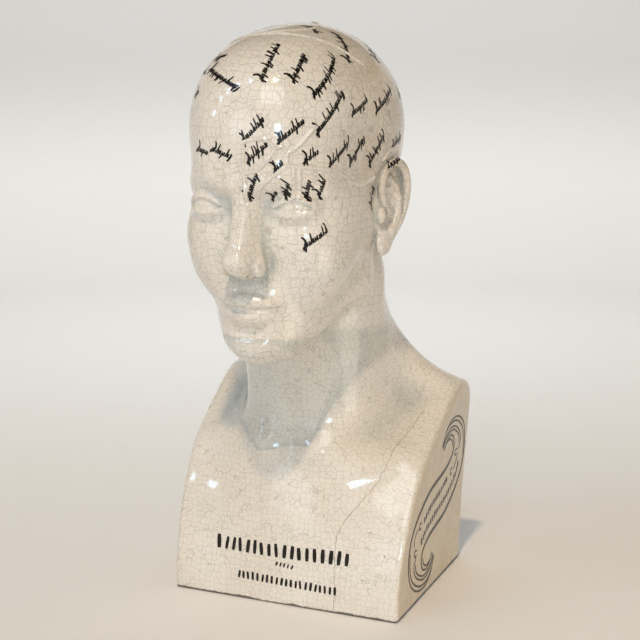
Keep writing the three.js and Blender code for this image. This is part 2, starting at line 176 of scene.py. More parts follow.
def turned(p, centre, degrees, axis=2):
    """The points as a form turned about an axis through the centre would see them."""
    i, j = [(1, 2), (2, 0), (0, 1)][axis]
    cos = np.float32(math.cos(math.radians(degrees)))
    sin = np.float32(math.sin(math.radians(degrees)))
    q = p - np.float32(centre)
    out = q.copy()
    out[..., i] = cos * q[..., i] + sin * q[..., j]
    out[..., j] = cos * q[..., j] - sin * q[..., i]
    return out + np.float32(centre)


def skull(p):
    """The bare head, in head units from the ear canals, on the left half."""
    d = egg(p, (0, 18, 44), (72, 77, 72))  # braincase
    d = blend(d, pebble(p, (0, -20, 41), (63, 74, 72), 2.3), 30)  # forehead
    d = blend(d, egg(p, (0, 28, 8), (60, 60, 50)), 24)  # nape side of the braincase
    d = blend(d, pebble(p, (0, -34, -18), (63, 50, 60), 2.3), 22)  # middle of the face
    d = blend(d, egg(p, (31, -56, -38), (25, 26, 34)), 24)  # cheek
    d = blend(d, egg(p, (0, -60, -72), (34, 32, 34)), 22)  # round the mouth
    d = blend(d, rod(p, (43, -10, -64), (15, -70, -97), 13, 12), 24)  # jaw
    d = blend(d, rod(p, (47, -8, -24), (44, -8, -62), 14, 12), 22)  # back of the jaw
    d = blend(d, egg(p, (0, -40, -84), (36, 40, 20)), 18)  # under the jaw
    d = blend(d, egg(p, (0, -80, -99), (17, 14, 14)), 14)  # chin
    return carve(d, egg(p, (86, -48, 24), (22, 34, 30)), 26)  # temple


def brow(p, d):
    ridge = limb(p, [(7, -87, 13), (24, -84, 18), (37, -75, 17.5), (45, -64, 13)], [6, 6, 5.5, 4.5])
    d = blend(d, ridge, 18)
    d = blend(d, egg(turned(p, (34, -63, -22), -32), (34, -63, -22), (17, 14, 12)), 22)  # cheekbone
    d = carve(d, egg(p, (29, -101, -1), (19, 17, 11)), 13)  # socket
    return carve(d, egg(p, (14, -98, -3), (7, 13, 11)), 9)  # inner corner


def eye(p, d):
    centre = np.float32((31.5, -74, -1.5))
    q = turned(p, centre, 15) - centre
    upper_arc = np.hypot(q[..., 0], q[..., 2] + 13.5) - 19.5
    lower_arc = np.hypot(q[..., 0] + 1, q[..., 2] - 22) - 26.5
    lid = egg(q, (0, 0, 0), (17.2, 14.6, 13.2))
    opening = (within(upper_arc, lower_arc, 2) - 0.9 * lid) / 1.35  # narrower deeper in
    d = blend(d, lid, 7)
    fold = limb(q, [(-14, -9.5, 4), (-7, -13.4, 9.6), (2, -13.8, 11), (11, -10.5, 9), (17, -5, 4)],
                [0.8, 1.3, 1.4, 1.2, 0.7])
    d = carve(d, fold, 2.6)  # crease over the lid
    d = carve(d, np.maximum(opening, q[..., 1] + 6), 1.4)
    return blend(d, egg(q, (0, 0, 0), (15.6, 12, 12.2)), 1.4)


def nose(p, d):
    n = rod(p, (0, -84, 11), (0, -102, -31), 6.4, 7)  # bridge
    n = blend(n, rod(p, (0, -80, 4), (0, -90, -28), 11, 9), 9)  # its flanks
    n = blend(n, egg(p, (0, -106, -35.5), (8.4, 8, 7.6)), 9)  # tip
    n = blend(n, egg(p, (0, -92, -37), (12.5, 13, 12)), 11)
    n = blend(n, egg(turned(p, (11.2, -95, -41), 22), (11.2, -95, -41), (5, 8.6, 6.2)), 7)  # wing
    n = blend(n, rod(p, (0, -106, -41), (0, -94, -46), 3.4, 4), 4)
    d = blend(d, n, 10)
    fold = limb(p, [(18, -90, -36), (22.5, -88.5, -46), (27, -84.5, -57)], [1, 1.6, 0.6])
    d = carve(d, fold, 7)  # from the wing towards the mouth's corner
    return carve(d, egg(turned(p, (6.8, -99, -49), 25), (6.8, -99, -49), (3.4, 5.6, 5)), 2.4)  # nostril


def mouth(p, d):
    upper = [(0, -91, -66.6), (4.5, -91, -65.8), (9, -90, -66.2), (15, -87.2, -68), (22, -83.2, -70.4)]
    lower = [(0, -89.6, -76.8), (7, -89.2, -76.4), (14, -86.4, -74.8), (21, -82.6, -71.6)]
    seam = [(0, -95.6, -71.2), (5, -95.4, -70.8), (11, -93.4, -71.2), (18, -89.2, -71), (25, -84.6, -70.6)]
    d = blend(d, limb(p, upper, [4.4, 4.7, 4.4, 3.2, 1.2]), 5.5)
    d = blend(d, limb(p, lower, [5.8, 5.5, 3.9, 1.2]), 6)
    d = carve(d, limb(p, seam, [1.5, 1.5, 1.5, 1.5, 1.6]), 2.6)
    d = carve(d, egg(p, (0, -97, -89), (17, 7, 5)), 8)  # hollow over the chin
    return carve(d, rod(p, (0, -98, -51), (0, -98.2, -60), 2.7, 3.2), 5)  # groove under the nose


# Ear, in head units from its own middle: back, up, and out from the head
EAR_PLACE = (64, 7, -12)
EAR_HINGE = (62, -6, -12)
EAR_LEAN = 10
EAR_FLARE = 16
RIM_POINTS = [(-4, -4, 3.5), (-11, 3, 4), (-14, 14, 4.2), (-10, 25, 4.4), (0, 31, 4.6), (10, 28.5, 4.6),
              (16, 19, 4.4), (17, 7, 4), (14.5, -5, 3.2), (9, -16, 2.4), (3, -25, 1.4)]
GROOVE = [(-3, 23.5, 6.6), (8, 22, 6.6), (11.5, 11, 6.4), (11, -1, 6), (8.5, -11, 5.5)]
INNER_RIDGE = [(4.5, -15, 2.5), (8, -6, 3), (8, 4, 3.2), (4, 13, 3), (-2, 20, 2.2)]
RIDGE_BRANCH = [(7, 6, 2.6), (0, 11.5, 2.6), (-8, 12, 1.6)]


def spline(points, steps):
    """A smooth line through the points, with this many steps from each to the next."""
    p = np.array(points, float)
    p = np.vstack([2 * p[0] - p[1], p, 2 * p[-1] - p[-2]])
    t = np.linspace(0, 1, steps, endpoint=False)[:, None]
    spans = []
    for a, b, c, d in zip(p, p[1:], p[2:], p[3:]):
        spans.append(b + (c - a) * t / 2 + (a - 2.5 * b + 2 * c - d / 2) * t ** 2
                     + (3 * (b - c) + d - a) * t ** 3 / 2)
    return np.vstack([*spans, p[-2:-1]])


RIM = spline(RIM_POINTS, 3)
RIM_RADII = 2.3 + 1.1 * np.sin(np.linspace(0, math.pi, len(RIM)))


def ear(p):
    q = turned(turned(p, EAR_PLACE, -EAR_LEAN, axis=0), EAR_HINGE, -EAR_FLARE) - np.float32(EAR_PLACE)
    q = q[..., [1, 2, 0]]
    d = egg(q, (0, 3, -0.4), (17, 30.5, 4))
    d = blend(d, egg(q, (-4, -26, 0.8), (8.5, 10.5, 4)), 5)  # lobe
    d = carve(d, egg(q, (-2, -6, 7.5), (9.5, 13, 8)), 2.5)  # bowl
    d = carve(d, limb(q, GROOVE, [3, 3.4, 3.2, 2.6, 2]), 3)
    ridge = blend(limb(q, INNER_RIDGE, [3, 3.2, 3.4, 3, 2]), limb(q, RIDGE_BRANCH, [3, 2.6, 2]), 3)
    d = blend(d, ridge, 3)
    d = blend(d, limb(q, RIM, RIM_RADII), 3)
    d = blend(d, egg(q, (-12, -7.5, 3), (3.6, 6, 4.2)), 3)  # flap before the ear canal
    d = blend(d, ball(q, (1, -18, 3), 3.6), 3)  # and the knob below it
    return blend(d, egg(q, (-4, 0, -7), (7, 20, 8)), 4)  # root, inside the head


def neck(p):
    throat, foot = on_head(0, 23, -57), on_block(0, 0, 0.98)
    column = rod(p, throat, foot, 0.487 * NECK_WIDTH, 0.5 * NECK_WIDTH)
    muscle = rod(p, on_head(39, 24, -68), on_block(0.3, -0.45, 0.88), 10 * UNIT, 6 * UNIT)
    return blend(column, muscle, 35 * UNIT)


# The block seen from the side: a squarish round front, whose middle lies towards the back
PROFILE_POWER = 1.9
PROFILE_SCALE = 0.945
PROFILE_CENTRE = 0.85 * HALF_DEPTH
PROFILE_REACH = PROFILE_CENTRE + HALF_DEPTH


def torso(p):
    u = np.maximum(PROFILE_CENTRE - p[..., 1], 0) / PROFILE_REACH
    v = np.maximum(p[..., 2], 0) / SHOULDER_HEIGHT
    profile = (u ** PROFILE_POWER + v ** PROFILE_POWER) ** (1 / PROFILE_POWER)
    w, h, s = HALF_WIDTH, HALF_DEPTH, SHOULDER_HEIGHT
    d = (profile - 1) * PROFILE_SCALE * s
    d = blend(d, egg(p, on_block(0, 0, 0.38), (1.08 * w, 0.92 * h, 0.56 * s)), 0.225 * s)  # chest
    collar_bone = rod(p, on_block(0.25, -0.7, 0.76), on_block(0.85, -0.36, 0.7), 0.04 * s, 0.03 * s)
    d = blend(d, collar_bone, 0.22 * s)
    slope = rod(p, on_block(0.25, 0.22, 1.28), on_block(1, 0.66, 0.863), 0.135 * s, 0.095 * s)
    return blend(d, slope, 0.26 * s)


def half_width_at(z):
    share = np.clip((z / SHOULDER_HEIGHT - FLARE_FROM) / FLARE_OVER, 0, FLARE_MOST)
    return HALF_WIDTH + SHOULDER_FLARE * share ** FLARE_BEND


def squared(d, p, wide):
    """A form cut to the block's front, back and sides, with wide as the distance from the middle."""
    block = within(wide - half_width_at(p[..., 2]), -p[..., 1] - HALF_DEPTH, FRONT_EDGE)
    d = within(d, p[..., 1] - HALF_DEPTH, BACK_EDGE)
    return within(d, block, SIDE_EDGE)


def with_head(d, p):
    """A form with the head and the ear joined on."""
    nape = np.clip(((p[..., 1] - EAR_CANALS[1]) / UNIT - NAPE_FROM) / NAPE_OVER, 0, 1)
    q = turned((p - np.float32(EAR_CANALS)) / np.float32(UNIT), (0, 0, 0), HEAD_NOD, axis=0)
    head = mouth(q, nose(q, eye(q, brow(q, skull(q)))))
    d = blend(d, UNIT * head, mix(JAW_FILLET, NAPE_FILLET, nape))
    return blend(d, UNIT * ear(q), EAR_FILLET)


def casting(point):
    """The whole bust."""
    p = np.array(point, np.float32)
    wide = np.abs(p[..., 0])
    p[..., 0] = np.sqrt(wide * wide + FOLD * FOLD) - FOLD / (1 + (wide / (3 * FOLD)) ** 2)
    d = blend(neck(p), torso(p), NECK_FILLET)
    d = carve(d, egg(p, on_block(0, -0.95, 0.92), HOLLOW), HOLLOW_EDGE)
    d = with_head(squared(d, p, wide), p)
    return within(d, -p[..., 2], FOOT_EDGE)


# How a point is moved onto the surface: the step that finds the slope, the longest move, and the gentlest
# slope that is trusted, squared
SLOPE_STEP = 0.04
LONGEST_MOVE = 1
GENTLEST = 0.2


def distance_and_slope(form, p):
    """A form's distance at each point, and the way in which it grows."""
    distance = form(p)
    offsets = SLOPE_STEP * np.eye(3, dtype=np.float32)
    return distance, np.stack([(form(p + offset) - distance) / SLOPE_STEP for offset in offsets], -1)


def settle(form, p, rounds):
    """Points moved onto the form's surface, with the surface's normals there."""
    p = np.array(p, np.float32)
    for _ in range(rounds):
        distance, slope = distance_and_slope(form, p)
        move = np.clip(distance, -LONGEST_MOVE, LONGEST_MOVE)
        p -= (move / np.maximum((slope * slope).sum(1), GENTLEST))[:, None] * slope
    slope = distance_and_slope(form, p)[1]
    return p, slope / np.maximum(length(slope), 1e-6)[:, None]


# Grid on which the surface is found: stretches of each axis with their step, finest on the face
GRID_X = [(0, 58, 1.0), (58, 76, 2.1)]
GRID_Y = [(-112, -55, 1.0), (-55, -38, 1.65), (-38, -10, 1.12), (-10, 60, 2.35)]
GRID_Z = [(-4, 110, 2.6), (110, 148, 1.75), (148, 242, 1.0), (242, 304, 2.1)]
COARSE = 4  # fine steps in a coarse one
NEAR = 1.3  # coarse steps from the surface within which distances are exact
BATCH = 300000  # points worked out at once


def axis_points(stretches):
    points = [stretches[0][0]]
    for _, end, step in stretches:
        while points[-1] < end:
            points.append(points[-1] + step)
    return np.array(points)


def stretched(values, axis, source, target):
    """Values on a coarse axis, spread straight between its points onto a fine one."""
    i = np.clip(np.searchsorted(source, target, side="right") - 1, 0, len(source) - 2)
    shape = [1, 1, 1]
    shape[axis] = len(target)
    t = ((target - source[i]) / (source[i + 1] - source[i])).reshape(shape).astype(np.float32)
    return mix(np.take(values, i, axis), np.take(values, i + 1, axis), t)


def sample(form, axes):
    """The form's distances on the grid, exact near its surface and rough away from it."""
    coarse = [a[np.unique(np.r_[np.arange(0, len(a), COARSE), len(a) - 1])] for a in axes]
    points = np.stack(np.meshgrid(*coarse, indexing="ij"), -1).astype(np.float32)
    values = form(points.reshape(-1, 3)).reshape(points.shape[:3])
    for axis in range(3):
        values = stretched(values, axis, coarse[axis], axes[axis])
    steps = [np.interp(fine, a[1:], np.diff(a)).astype(np.float32) for fine, a in zip(axes, coarse)]
    widest = np.maximum(np.maximum(steps[0][:, None, None], steps[1][:, None]), steps[2])
    near = np.argwhere(np.abs(values) < NEAR * widest)
    for part in np.array_split(near, len(near) // BATCH + 1):
        points = np.stack([axes[axis][part[:, axis]] for axis in range(3)], -1)
        values[tuple(part.T)] = form(points)
    return values


def at_corner(values, corner):
    """A grid's values at one corner of each cell, by that corner's steps from the cell's first one."""
    spans = [slice(step, size - 1 + step) for step, size in zip(corner, values.shape)]
    return values[tuple(spans)]


def edges_along(axis):
    """Both ends of a cell's four edges along an axis, as steps from its first corner."""
    for first in (0, 1):
        for second in (0, 1):
            start = [first, second]
            start.insert(axis, 0)
            end = list(start)
            end[axis] = 1
            yield start, end


def crossings(values, axes):
    """For each cell that the surface passes through, the mean of the points where its edges meet it."""
    grid = np.meshgrid(*[a.astype(np.float32) for a in axes], indexing="ij")
    shape = [n - 1 for n in values.shape]
    count = np.zeros(shape, np.int8)
    total = np.zeros([*shape, 3], np.float32)
    for axis in range(3):
        for start, end in edges_along(axis):
            a = at_corner(values, start)
            b = at_corner(values, end)
            crossed = (a < 0) != (b < 0)
            t = np.where(crossed, a / np.where(crossed, a - b, 1), 0)
            for i in range(3):
                place = mix(at_corner(grid[i], start), at_corner(grid[i], end), t)
                total[..., i] += np.where(crossed, place, 0)
            count += crossed
    met = count > 0
    return met, total[met] / count[met][:, None]


def faces_across(inside, index, axis):
    """Faces across the grid's edges along an axis, from the index of each cell's point."""
    others = [i for i in range(3) if i != axis]
    low = [slice(1, -1)] * 3
    high = [slice(1, -1)] * 3
    low[axis] = slice(None, -1)
    high[axis] = slice(1, None)
    a = inside[tuple(low)]
    b = inside[tuple(high)]
    faces = []
    for leaving in (True, False):
        edges = np.argwhere(a & ~b if leaving else ~a & b)
        corners = []
        for step in ((0, 0), (1, 0), (1, 1), (0, 1)):
            cell = edges.copy()
            cell[:, others] += step
            corners.append(index[tuple(cell.T)])
        face = np.stack(corners, 1)
        faces.append(face if leaving == (axis != 1) else face[:, ::-1])
    return faces


def surface(form, axes):
    """The form's closed skin of four-sided faces: its points and the faces' corners."""
    values = sample(form, axes)
    met, points = crossings(values, axes)
    index = np.full(met.shape, -1)
    index[met] = np.arange(len(points))
    faces = []
    for axis in range(3):
        faces += faces_across(values < 0, index, axis)
    return points, np.vstack(faces)


def add_object(name, data):
    """A new object in the scene, at the origin."""
    made = bpy.data.objects.new(name, data)
    bpy.context.scene.collection.objects.link(made)
    return made


def mesh_object(name, points, faces, normals, material):
    """An object from points in millimetres, smooth by the given normals."""
    mesh = bpy.data.meshes.new(name)
    mesh.from_pydata((points * MM).tolist(), [], faces.tolist())
    mesh.polygons.foreach_set("use_smooth", np.ones(len(faces), bool))
    mesh.normals_split_custom_set_from_vertices(normals.tolist())
    mesh.materials.append(material)
    return add_object(name, mesh)


def add_value(mesh, name, values):
    mesh.attributes.new(name, "FLOAT", "POINT").data.foreach_set("value", np.float32(values))


# Heights above the surface at which its hollows are felt, in millimetres, with their weights
HOLLOW_REACHES = ((0.7, 0.35), (1.5, 0.3), (4.0, 0.25), (9.0, 0.1))


def hollowness(points, normals):
    """How far the surface lies in a hollow, 0 to 1: how much closer it comes to a point above it."""
    total = 0
    for reach, weight in HOLLOW_REACHES:
        total = total + weight * np.clip(1 - casting(points + reach * normals) / reach, 0, 1)
    return np.minimum(total, 1)


# Materials
def fill(made, inputs):
    """Set a node's inputs to numbers, colours or other nodes' outputs."""
    for key, value in inputs.items():
        if isinstance(value, bpy.types.NodeSocket):
            made.id_data.links.new(value, made.inputs[key])
        else:
            made.inputs[key].default_value = value


def node(tree, kind, inputs=None, **settings):
    """A new shader node with its settings and inputs."""
    made = tree.nodes.new(kind)
    for key, value in settings.items():
        setattr(made, key, value)
    fill(made, inputs or {})
    return made


# The parts of a material. Each finds its node tree by the output that it is given first
def math_node(operation, a, b):
    return node(a.id_data, "ShaderNodeMath", {0: a, 1: b}, operation=operation).outputs[0]


def times(a, b):
    return math_node("MULTIPLY", a, b)


def times_plus(a, b, c):
    return node(a.id_data, "ShaderNodeMath", {0: a, 1: b, 2: c}, operation="MULTIPLY_ADD").outputs[0]


def vector_node(operation, inputs):
    return node(inputs[0].id_data, "ShaderNodeVectorMath", inputs, operation=operation).outputs[0]


def ramp(value, span):
    """A value mapped smoothly. The span is where it starts and ends, and what it gives there."""
    low, high, to_low, to_high = span
    inputs = {"Value": value, "From Min": low, "From Max": high, "To Min": to_low, "To Max": to_high}
    made = node(value.id_data, "ShaderNodeMapRange", inputs, interpolation_type="SMOOTHSTEP")
    return made.outputs["Result"]


def mixed(factor, a, b):
    return node(factor.id_data, "ShaderNodeMix", {0: factor, 6: a, 7: b}, data_type="RGBA").outputs[2]


def noise(place, look, output="Fac"):
    """Noise that looks as its millimetres across, its detail and its roughness say."""
    size, detail, roughness = look
    inputs = {"Vector": place, "Scale": 1 / (size * MM), "Detail": detail, "Roughness": roughness}
    return node(place.id_data, "ShaderNodeTexNoise", inputs).outputs[output]


def from_cell_edges(place, size, randomness):
    """The distance from the edges of cells about this many millimetres across."""
    inputs = {"Vector": place, "Scale": 1 / (size * MM), "Randomness": randomness}
    made = node(place.id_data, "ShaderNodeTexVoronoi", inputs, feature="DISTANCE_TO_EDGE")
    return made.outputs["Distance"]


def height_of(place):
    return node(place.id_data, "ShaderNodeSeparateXYZ", {0: place}).outputs["Z"]


def colour(red, green, blue):
    return (red, green, blue, 1)


CREAM = colour(0.83, 0.77, 0.68)
IVORY = colour(0.87, 0.83, 0.76)
# pooled glaze, which also stands for painted shade in the hollows and the painted shadow of the jaw
POOLED_AND_SHADED = colour(0.50, 0.53, 0.50)
# painted shade: the tan of the block's flat sides, which face away from the lights and take the floor's warm
# bounce
SHADED_SIDE_TAN = colour(0.62, 0.51, 0.36)
# brown of stains and wear, and of painted shade on the head's left side
STAIN_AND_SHADE_BROWN = colour(0.40, 0.27, 0.14)
CRACK = colour(0.22, 0.19, 0.16)
# dark of dirt and painted contact shade along the foot, and of specks
DIRT_AND_SHADE_DARK = colour(0.05, 0.035, 0.025)
INK = colour(0.010, 0.008, 0.007)

# How strongly the blue-grey in front of the neck shows, pooled glaze and painted jaw shadow, and its rim,
# whose width is in millimetres
THROAT_SHOWS = 0.22
THROAT_RIM = 1.5
THROAT_EDGE = 0.9

# Crackle, in millimetres
COARSE_CELLS = 3.0
COARSE_RANDOMNESS = 0.58
FINE_CELLS = 1.7
FINE_RANDOMNESS = 0.5
CRACK_SHOWS = 0.38
CRACK_BEND = 2.2
CRACK_DEPTH = 0.10  # as a share of the bump's
CELLS_GROW_FROM = 130.0  # height
CHEST_CELLS_UP_TO = 105.0
HEAD_CELLS_FROM = 155.0
HEAD_SHRINK = 0.72  # of the places as the cells see them, so that the head's cells are larger

# The glaze's bump: its height in millimetres, its strength and the ripple's share in it
BUMP_HEIGHT = 0.4
BUMP_SHOWS = 0.35
RIPPLE_SHOWS = 0.5

# The dark line along the foot, dirt and painted contact shade, in millimetres
FOOT_LINE_RISE = 3.0
FOOT_LINE_DROP = 0.2
FOOT_LINE_SHOWS = 0.85

# Noises: millimetres across, detail and roughness
BROAD = (60, 3, 0.5)
MOTTLE = (7, 4, 0.6)
BLOTS = (26, 5, 0.65)
RIPPLE = (11, 2, 0.5)
PATCHES = (18, 3, 0.5)
CRUMBS = (4, 2, 0.5)
BEND = (6, 1, 0.5)
WEAR = (1.6, 3, 0.6)
RUST = (0.5, 2, 0.5)

# Ramps: where each starts and ends, and what it gives there
CREAM_TO_IVORY = (0.35, 0.65, 0, 1)
POOL_AND_SHADE_DEPTH = (0.13, 0.5, 0, 1)
POOL_AND_SHADE_MOTTLE = (0.3, 0.7, 0.6, 1)
POOLED_AND_SHADOWED_THROAT = (0, THROAT_EDGE, 0, THROAT_SHOWS)
THROAT_FADE = (THROAT_EDGE, 5 * THROAT_EDGE, THROAT_RIM, 0)
SIDE_SHADE_MOTTLE = (0.25, 0.75, 0.75, 1)
BLOTTED = (0.62, 0.76, 0, 1)
BLOTS_IN_POOLS = (0.02, 0.3, 0.10, 0.35)
STAIN_AND_SHADE_MOTTLE = (0.3, 0.65, 0.4, 1)
COARSE_LINE = (0.014, 0.056, 1, 0)
COARSE_BREAKS = (0.3, 0.6, 0.6, 1)
FINE_LINE = (0.02, 0.085, 1, 0)
FINE_PATCHES = (0.38, 0.62, 0.75, 0.12)
FINE_BREAKS = (0.35, 0.6, 0.4, 1)
FINE_IN_POOLS = (0.15, 0.5, 0, 0.35)
LINES_ON_SHADED_SIDE = (0.2, 0.8, 1, 0.12)
CELL_SIZE = (CHEST_CELLS_UP_TO * MM, HEAD_CELLS_FROM * MM, 1, HEAD_SHRINK)
INK_WEAR = (0.58, 0.8, 0, 0.25)
RUSTED = (0.4, 0.65, 0, 1)

# How each surface shines
GLAZE_SHINE = {"Roughness": 0.09, "Coat Weight": 0.4, "Coat Roughness": 0.03}
INK_SHINE = {"Roughness": 0.25, "Specular IOR Level": 0.25, "Coat Weight": 0.12, "Coat Roughness": 0.08}
SPECK_SHINE = {"Roughness": 0.3}
PAPER_SHINE = {"Roughness": 0.7}


def new_material(name, shine):
    """A material that shines so, its shader, and the output that gives each point's place."""
    material = bpy.data.materials.new(name)
    material.use_nodes = True
    tree = material.node_tree
    shader = next(n for n in tree.nodes if n.type == "BSDF_PRINCIPLED")
    fill(shader, shine)
    return material, shader, node(tree, "ShaderNodeTexCoord").outputs["Object"]


def attribute(place, name):
    return node(place.id_data, "ShaderNodeAttribute", attribute_name=name).outputs["Fac"]


def crackle_place(place, height):
    """Places as the crackle's cells see them: a little bent, with larger cells on the head."""
    from_neck = vector_node("ADD", {0: place, 1: (0, 0, -CELLS_GROW_FROM * MM)})
    bend = noise(place, BEND, "Color")
    shift = vector_node("SUBTRACT", {0: bend, 1: (0.5, 0.5, 0.5)})
    shift = vector_node("SCALE", {0: shift, "Scale": CRACK_BEND * MM})
    bent = vector_node("ADD", {0: from_neck, 1: shift})
    return vector_node("SCALE", {0: bent, "Scale": ramp(height, CELL_SIZE)})


def crackle(place, height, pool_and_shade):
    """How strongly a crackle line shows, from 0 to 1."""
    bent = crackle_place(place, height)
    crumbs = noise(place, CRUMBS)
    coarse = ramp(from_cell_edges(bent, COARSE_CELLS, COARSE_RANDOMNESS), COARSE_LINE)
    coarse = times(coarse, ramp(crumbs, COARSE_BREAKS))
    fine = ramp(from_cell_edges(bent, FINE_CELLS, FINE_RANDOMNESS), FINE_LINE)
    shown = ramp(noise(place, PATCHES), FINE_PATCHES)
    shown = times(shown, ramp(crumbs, FINE_BREAKS))
    shown = math_node("ADD", shown, ramp(pool_and_shade, FINE_IN_POOLS))
    return math_node("MAXIMUM", coarse, times(fine, shown))


def pooled_and_shaded_tone(tone, pool_and_shade, throat, mottle):
    """A tone with the blue-grey of glaze pooled in the hollows, which also paints their shade, and in front
    of the neck, where it also paints the jaw's shadow.
    """
    depth = times(ramp(pool_and_shade, POOL_AND_SHADE_DEPTH), ramp(mottle, POOL_AND_SHADE_MOTTLE))
    tone = mixed(depth, tone, POOLED_AND_SHADED)
    filled = ramp(throat, POOLED_AND_SHADOWED_THROAT)
    rim = times(filled, ramp(throat, THROAT_FADE))
    return mixed(math_node("ADD", filled, rim), tone, POOLED_AND_SHADED)


def stained_and_shaded_tone(tone, place, pool_and_shade, stain_and_shade, mottle):
    """A tone with faint brown blots all over, and the stains in their places, some of which are painted
    shade.
    """
    blots = ramp(noise(place, BLOTS), BLOTTED)
    blots = times(blots, ramp(pool_and_shade, BLOTS_IN_POOLS))
    placed = times(stain_and_shade, ramp(mottle, STAIN_AND_SHADE_MOTTLE))
    return mixed(math_node("ADD", blots, placed), tone, STAIN_AND_SHADE_BROWN)


def dirt_and_shade_at_foot(tone, height, mottle):
    """A tone with the dark line along the foot, which is dirt and painted contact shade."""
    edge = times_plus(mottle, FOOT_LINE_RISE * MM, -FOOT_LINE_DROP * MM)
    darkened = math_node("LESS_THAN", height, edge)
    return mixed(times(darkened, FOOT_LINE_SHOWS), tone, DIRT_AND_SHADE_DARK)


def glaze_bump(place, lines):
    """Normals that follow the glaze's ripples and its sunk crackle lines."""
    relief = times_plus(noise(place, RIPPLE), RIPPLE_SHOWS, times(lines, -CRACK_DEPTH))
    inputs = {"Height": relief, "Strength": BUMP_SHOWS, "Distance": BUMP_HEIGHT * MM}
    return node(relief.id_data, "ShaderNodeBump", inputs).outputs[0]


def glaze_material():
    material, shader, place = new_material("crackle_glaze", GLAZE_SHINE)
    height = height_of(place)
    pool_and_shade, side_shade, stain_and_shade, throat = (attribute(place, name) for name in ("pool_and_shade", "side_shade", "stain_and_shade", "throat"))
    mottle = noise(place, MOTTLE)
    tone = mixed(ramp(noise(place, BROAD), CREAM_TO_IVORY), CREAM, IVORY)
    # blue-grey painted into the hollows, pooled glaze and painted shade, and in front of the neck the painted
    # jaw shadow
    tone = pooled_and_shaded_tone(tone, pool_and_shade, throat, mottle)
    # painted shade on the block's flat sides
    tone = mixed(times(side_shade, ramp(mottle, SIDE_SHADE_MOTTLE)), tone, SHADED_SIDE_TAN)
    tone = stained_and_shaded_tone(tone, place, pool_and_shade, stain_and_shade, mottle)
    lines = times(crackle(place, height, pool_and_shade), ramp(side_shade, LINES_ON_SHADED_SIDE))
    tone = mixed(times(lines, CRACK_SHOWS), tone, CRACK)
    tone = dirt_and_shade_at_foot(tone, height, mottle)
    fill(shader, {"Base Color": tone, "Normal": glaze_bump(place, lines)})
    return material


def ink_material():
    material, shader, place = new_material("print_ink", INK_SHINE)
    worn = ramp(noise(place, WEAR), INK_WEAR)
    fill(shader, {"Base Color": mixed(worn, INK, STAIN_AND_SHADE_BROWN)})
    return material


def speck_material():
    material, shader, place = new_material("iron_speck", SPECK_SHINE)
    rust = ramp(noise(place, RUST), RUSTED)
    fill(shader, {"Base Color": mixed(rust, DIRT_AND_SHADE_DARK, STAIN_AND_SHADE_BROWN)})
    return material


GLAZE = glaze_material()
PRINT = ink_material()
SPECK = speck_material()


def claim(piece, *replaced):
    """Hangs a piece on the bust's one body, and hides the parts that it replaces."""
    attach(piece, "root")
    if replaced:
        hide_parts(*replaced)


# Brown stains, and broad painted shade on the head's left side, as places in millimetres with their radius
# and strength
STAINS_AND_SHADE = [
    (on_head(-47, -66, -8), 5.0, 0.85), (on_head(-44, -70, -24), 6.0, 0.55),
    (on_head(-10, -94, -53), 3.0, 0.5), (on_head(4, -94, -55), 2.2, 0.7),
    (on_head(-25, -85, -73), 2.6, 0.6), (on_head(24, -84, -75), 3.0, 0.5),
    (np.array([-20.0, -51, 78]), 7.0, 0.18), (np.array([66.0, 20, 12]), 9.0, 0.3),
    # These last three, broad on the head's left side, are painted shade where it turns away from the lights
    (on_head(68, -14, 22), 26.0, 0.42), (on_head(58, -34, -34), 20.0, 0.26),
    (on_head(60, 0, 62), 24.0, 0.32),
]


def stained_and_shaded(points):
    """How brown each point is, 0 to 1, from stains and from painted shade."""
    total = np.zeros(len(points))
    for place, radius, strength in STAINS_AND_SHADE:
        total = np.maximum(total, strength * np.exp(-((points - place) ** 2).sum(1) / radius ** 2))
    return total


# The block's flat sides: how far a normal turns sideways there, over how much it comes in, and how far out
SIDEWAYS_FROM = 0.75
SIDEWAYS_OVER = 0.2
SIDE_SHARE = 0.9


def painted_side_shade(points, normals):
    """1 on the block's flat sides, painted a brown tan that stands for their shade, and smooth with few
    crackle lines, 0 elsewhere.
    """
    flat = np.clip((np.abs(normals[:, 0]) - SIDEWAYS_FROM) / SIDEWAYS_OVER, 0, 1)
    return flat * (np.abs(points[:, 0]) > SIDE_SHARE * HALF_WIDTH)


# Lower edge of the blue-grey in front of the neck, glaze pooled there and the painted shadow of the jaw,
# across and up in millimetres
THROAT_ACROSS = [-62, -50, -40, -30, -24, -18, -10, 0, 9, 13, 15, 21, 31, 40]
THROAT_UP = [98, 92, 90, 88, 84, 79.5, 80.5, 83, 84, 87, 94, 104, 115, 126]
THROAT_TOP = 150.0
THROAT_BACK = 2.0
THROAT_SOFT = ([12, 34], [1, 9])  # its edge grows softer from here to there across, in millimetres
THROAT_LIMITS = (-5, 20)


def throat_pool_and_shadow_inside(points):
    """How many edge widths each point lies inside the blue-grey in front of the neck, pooled glaze and
    painted jaw shadow, below 0 outside.
    """
    above = points[:, 2] - np.interp(points[:, 0], THROAT_ACROSS, THROAT_UP)
    inside = np.minimum(above, THROAT_TOP - points[:, 2])
    inside = np.minimum(inside, THROAT_BACK - points[:, 1]) / np.interp(points[:, 0], *THROAT_SOFT)
    return np.clip(inside, *THROAT_LIMITS)


SETTLE_ROUNDS = 2  # in which points reach the surface


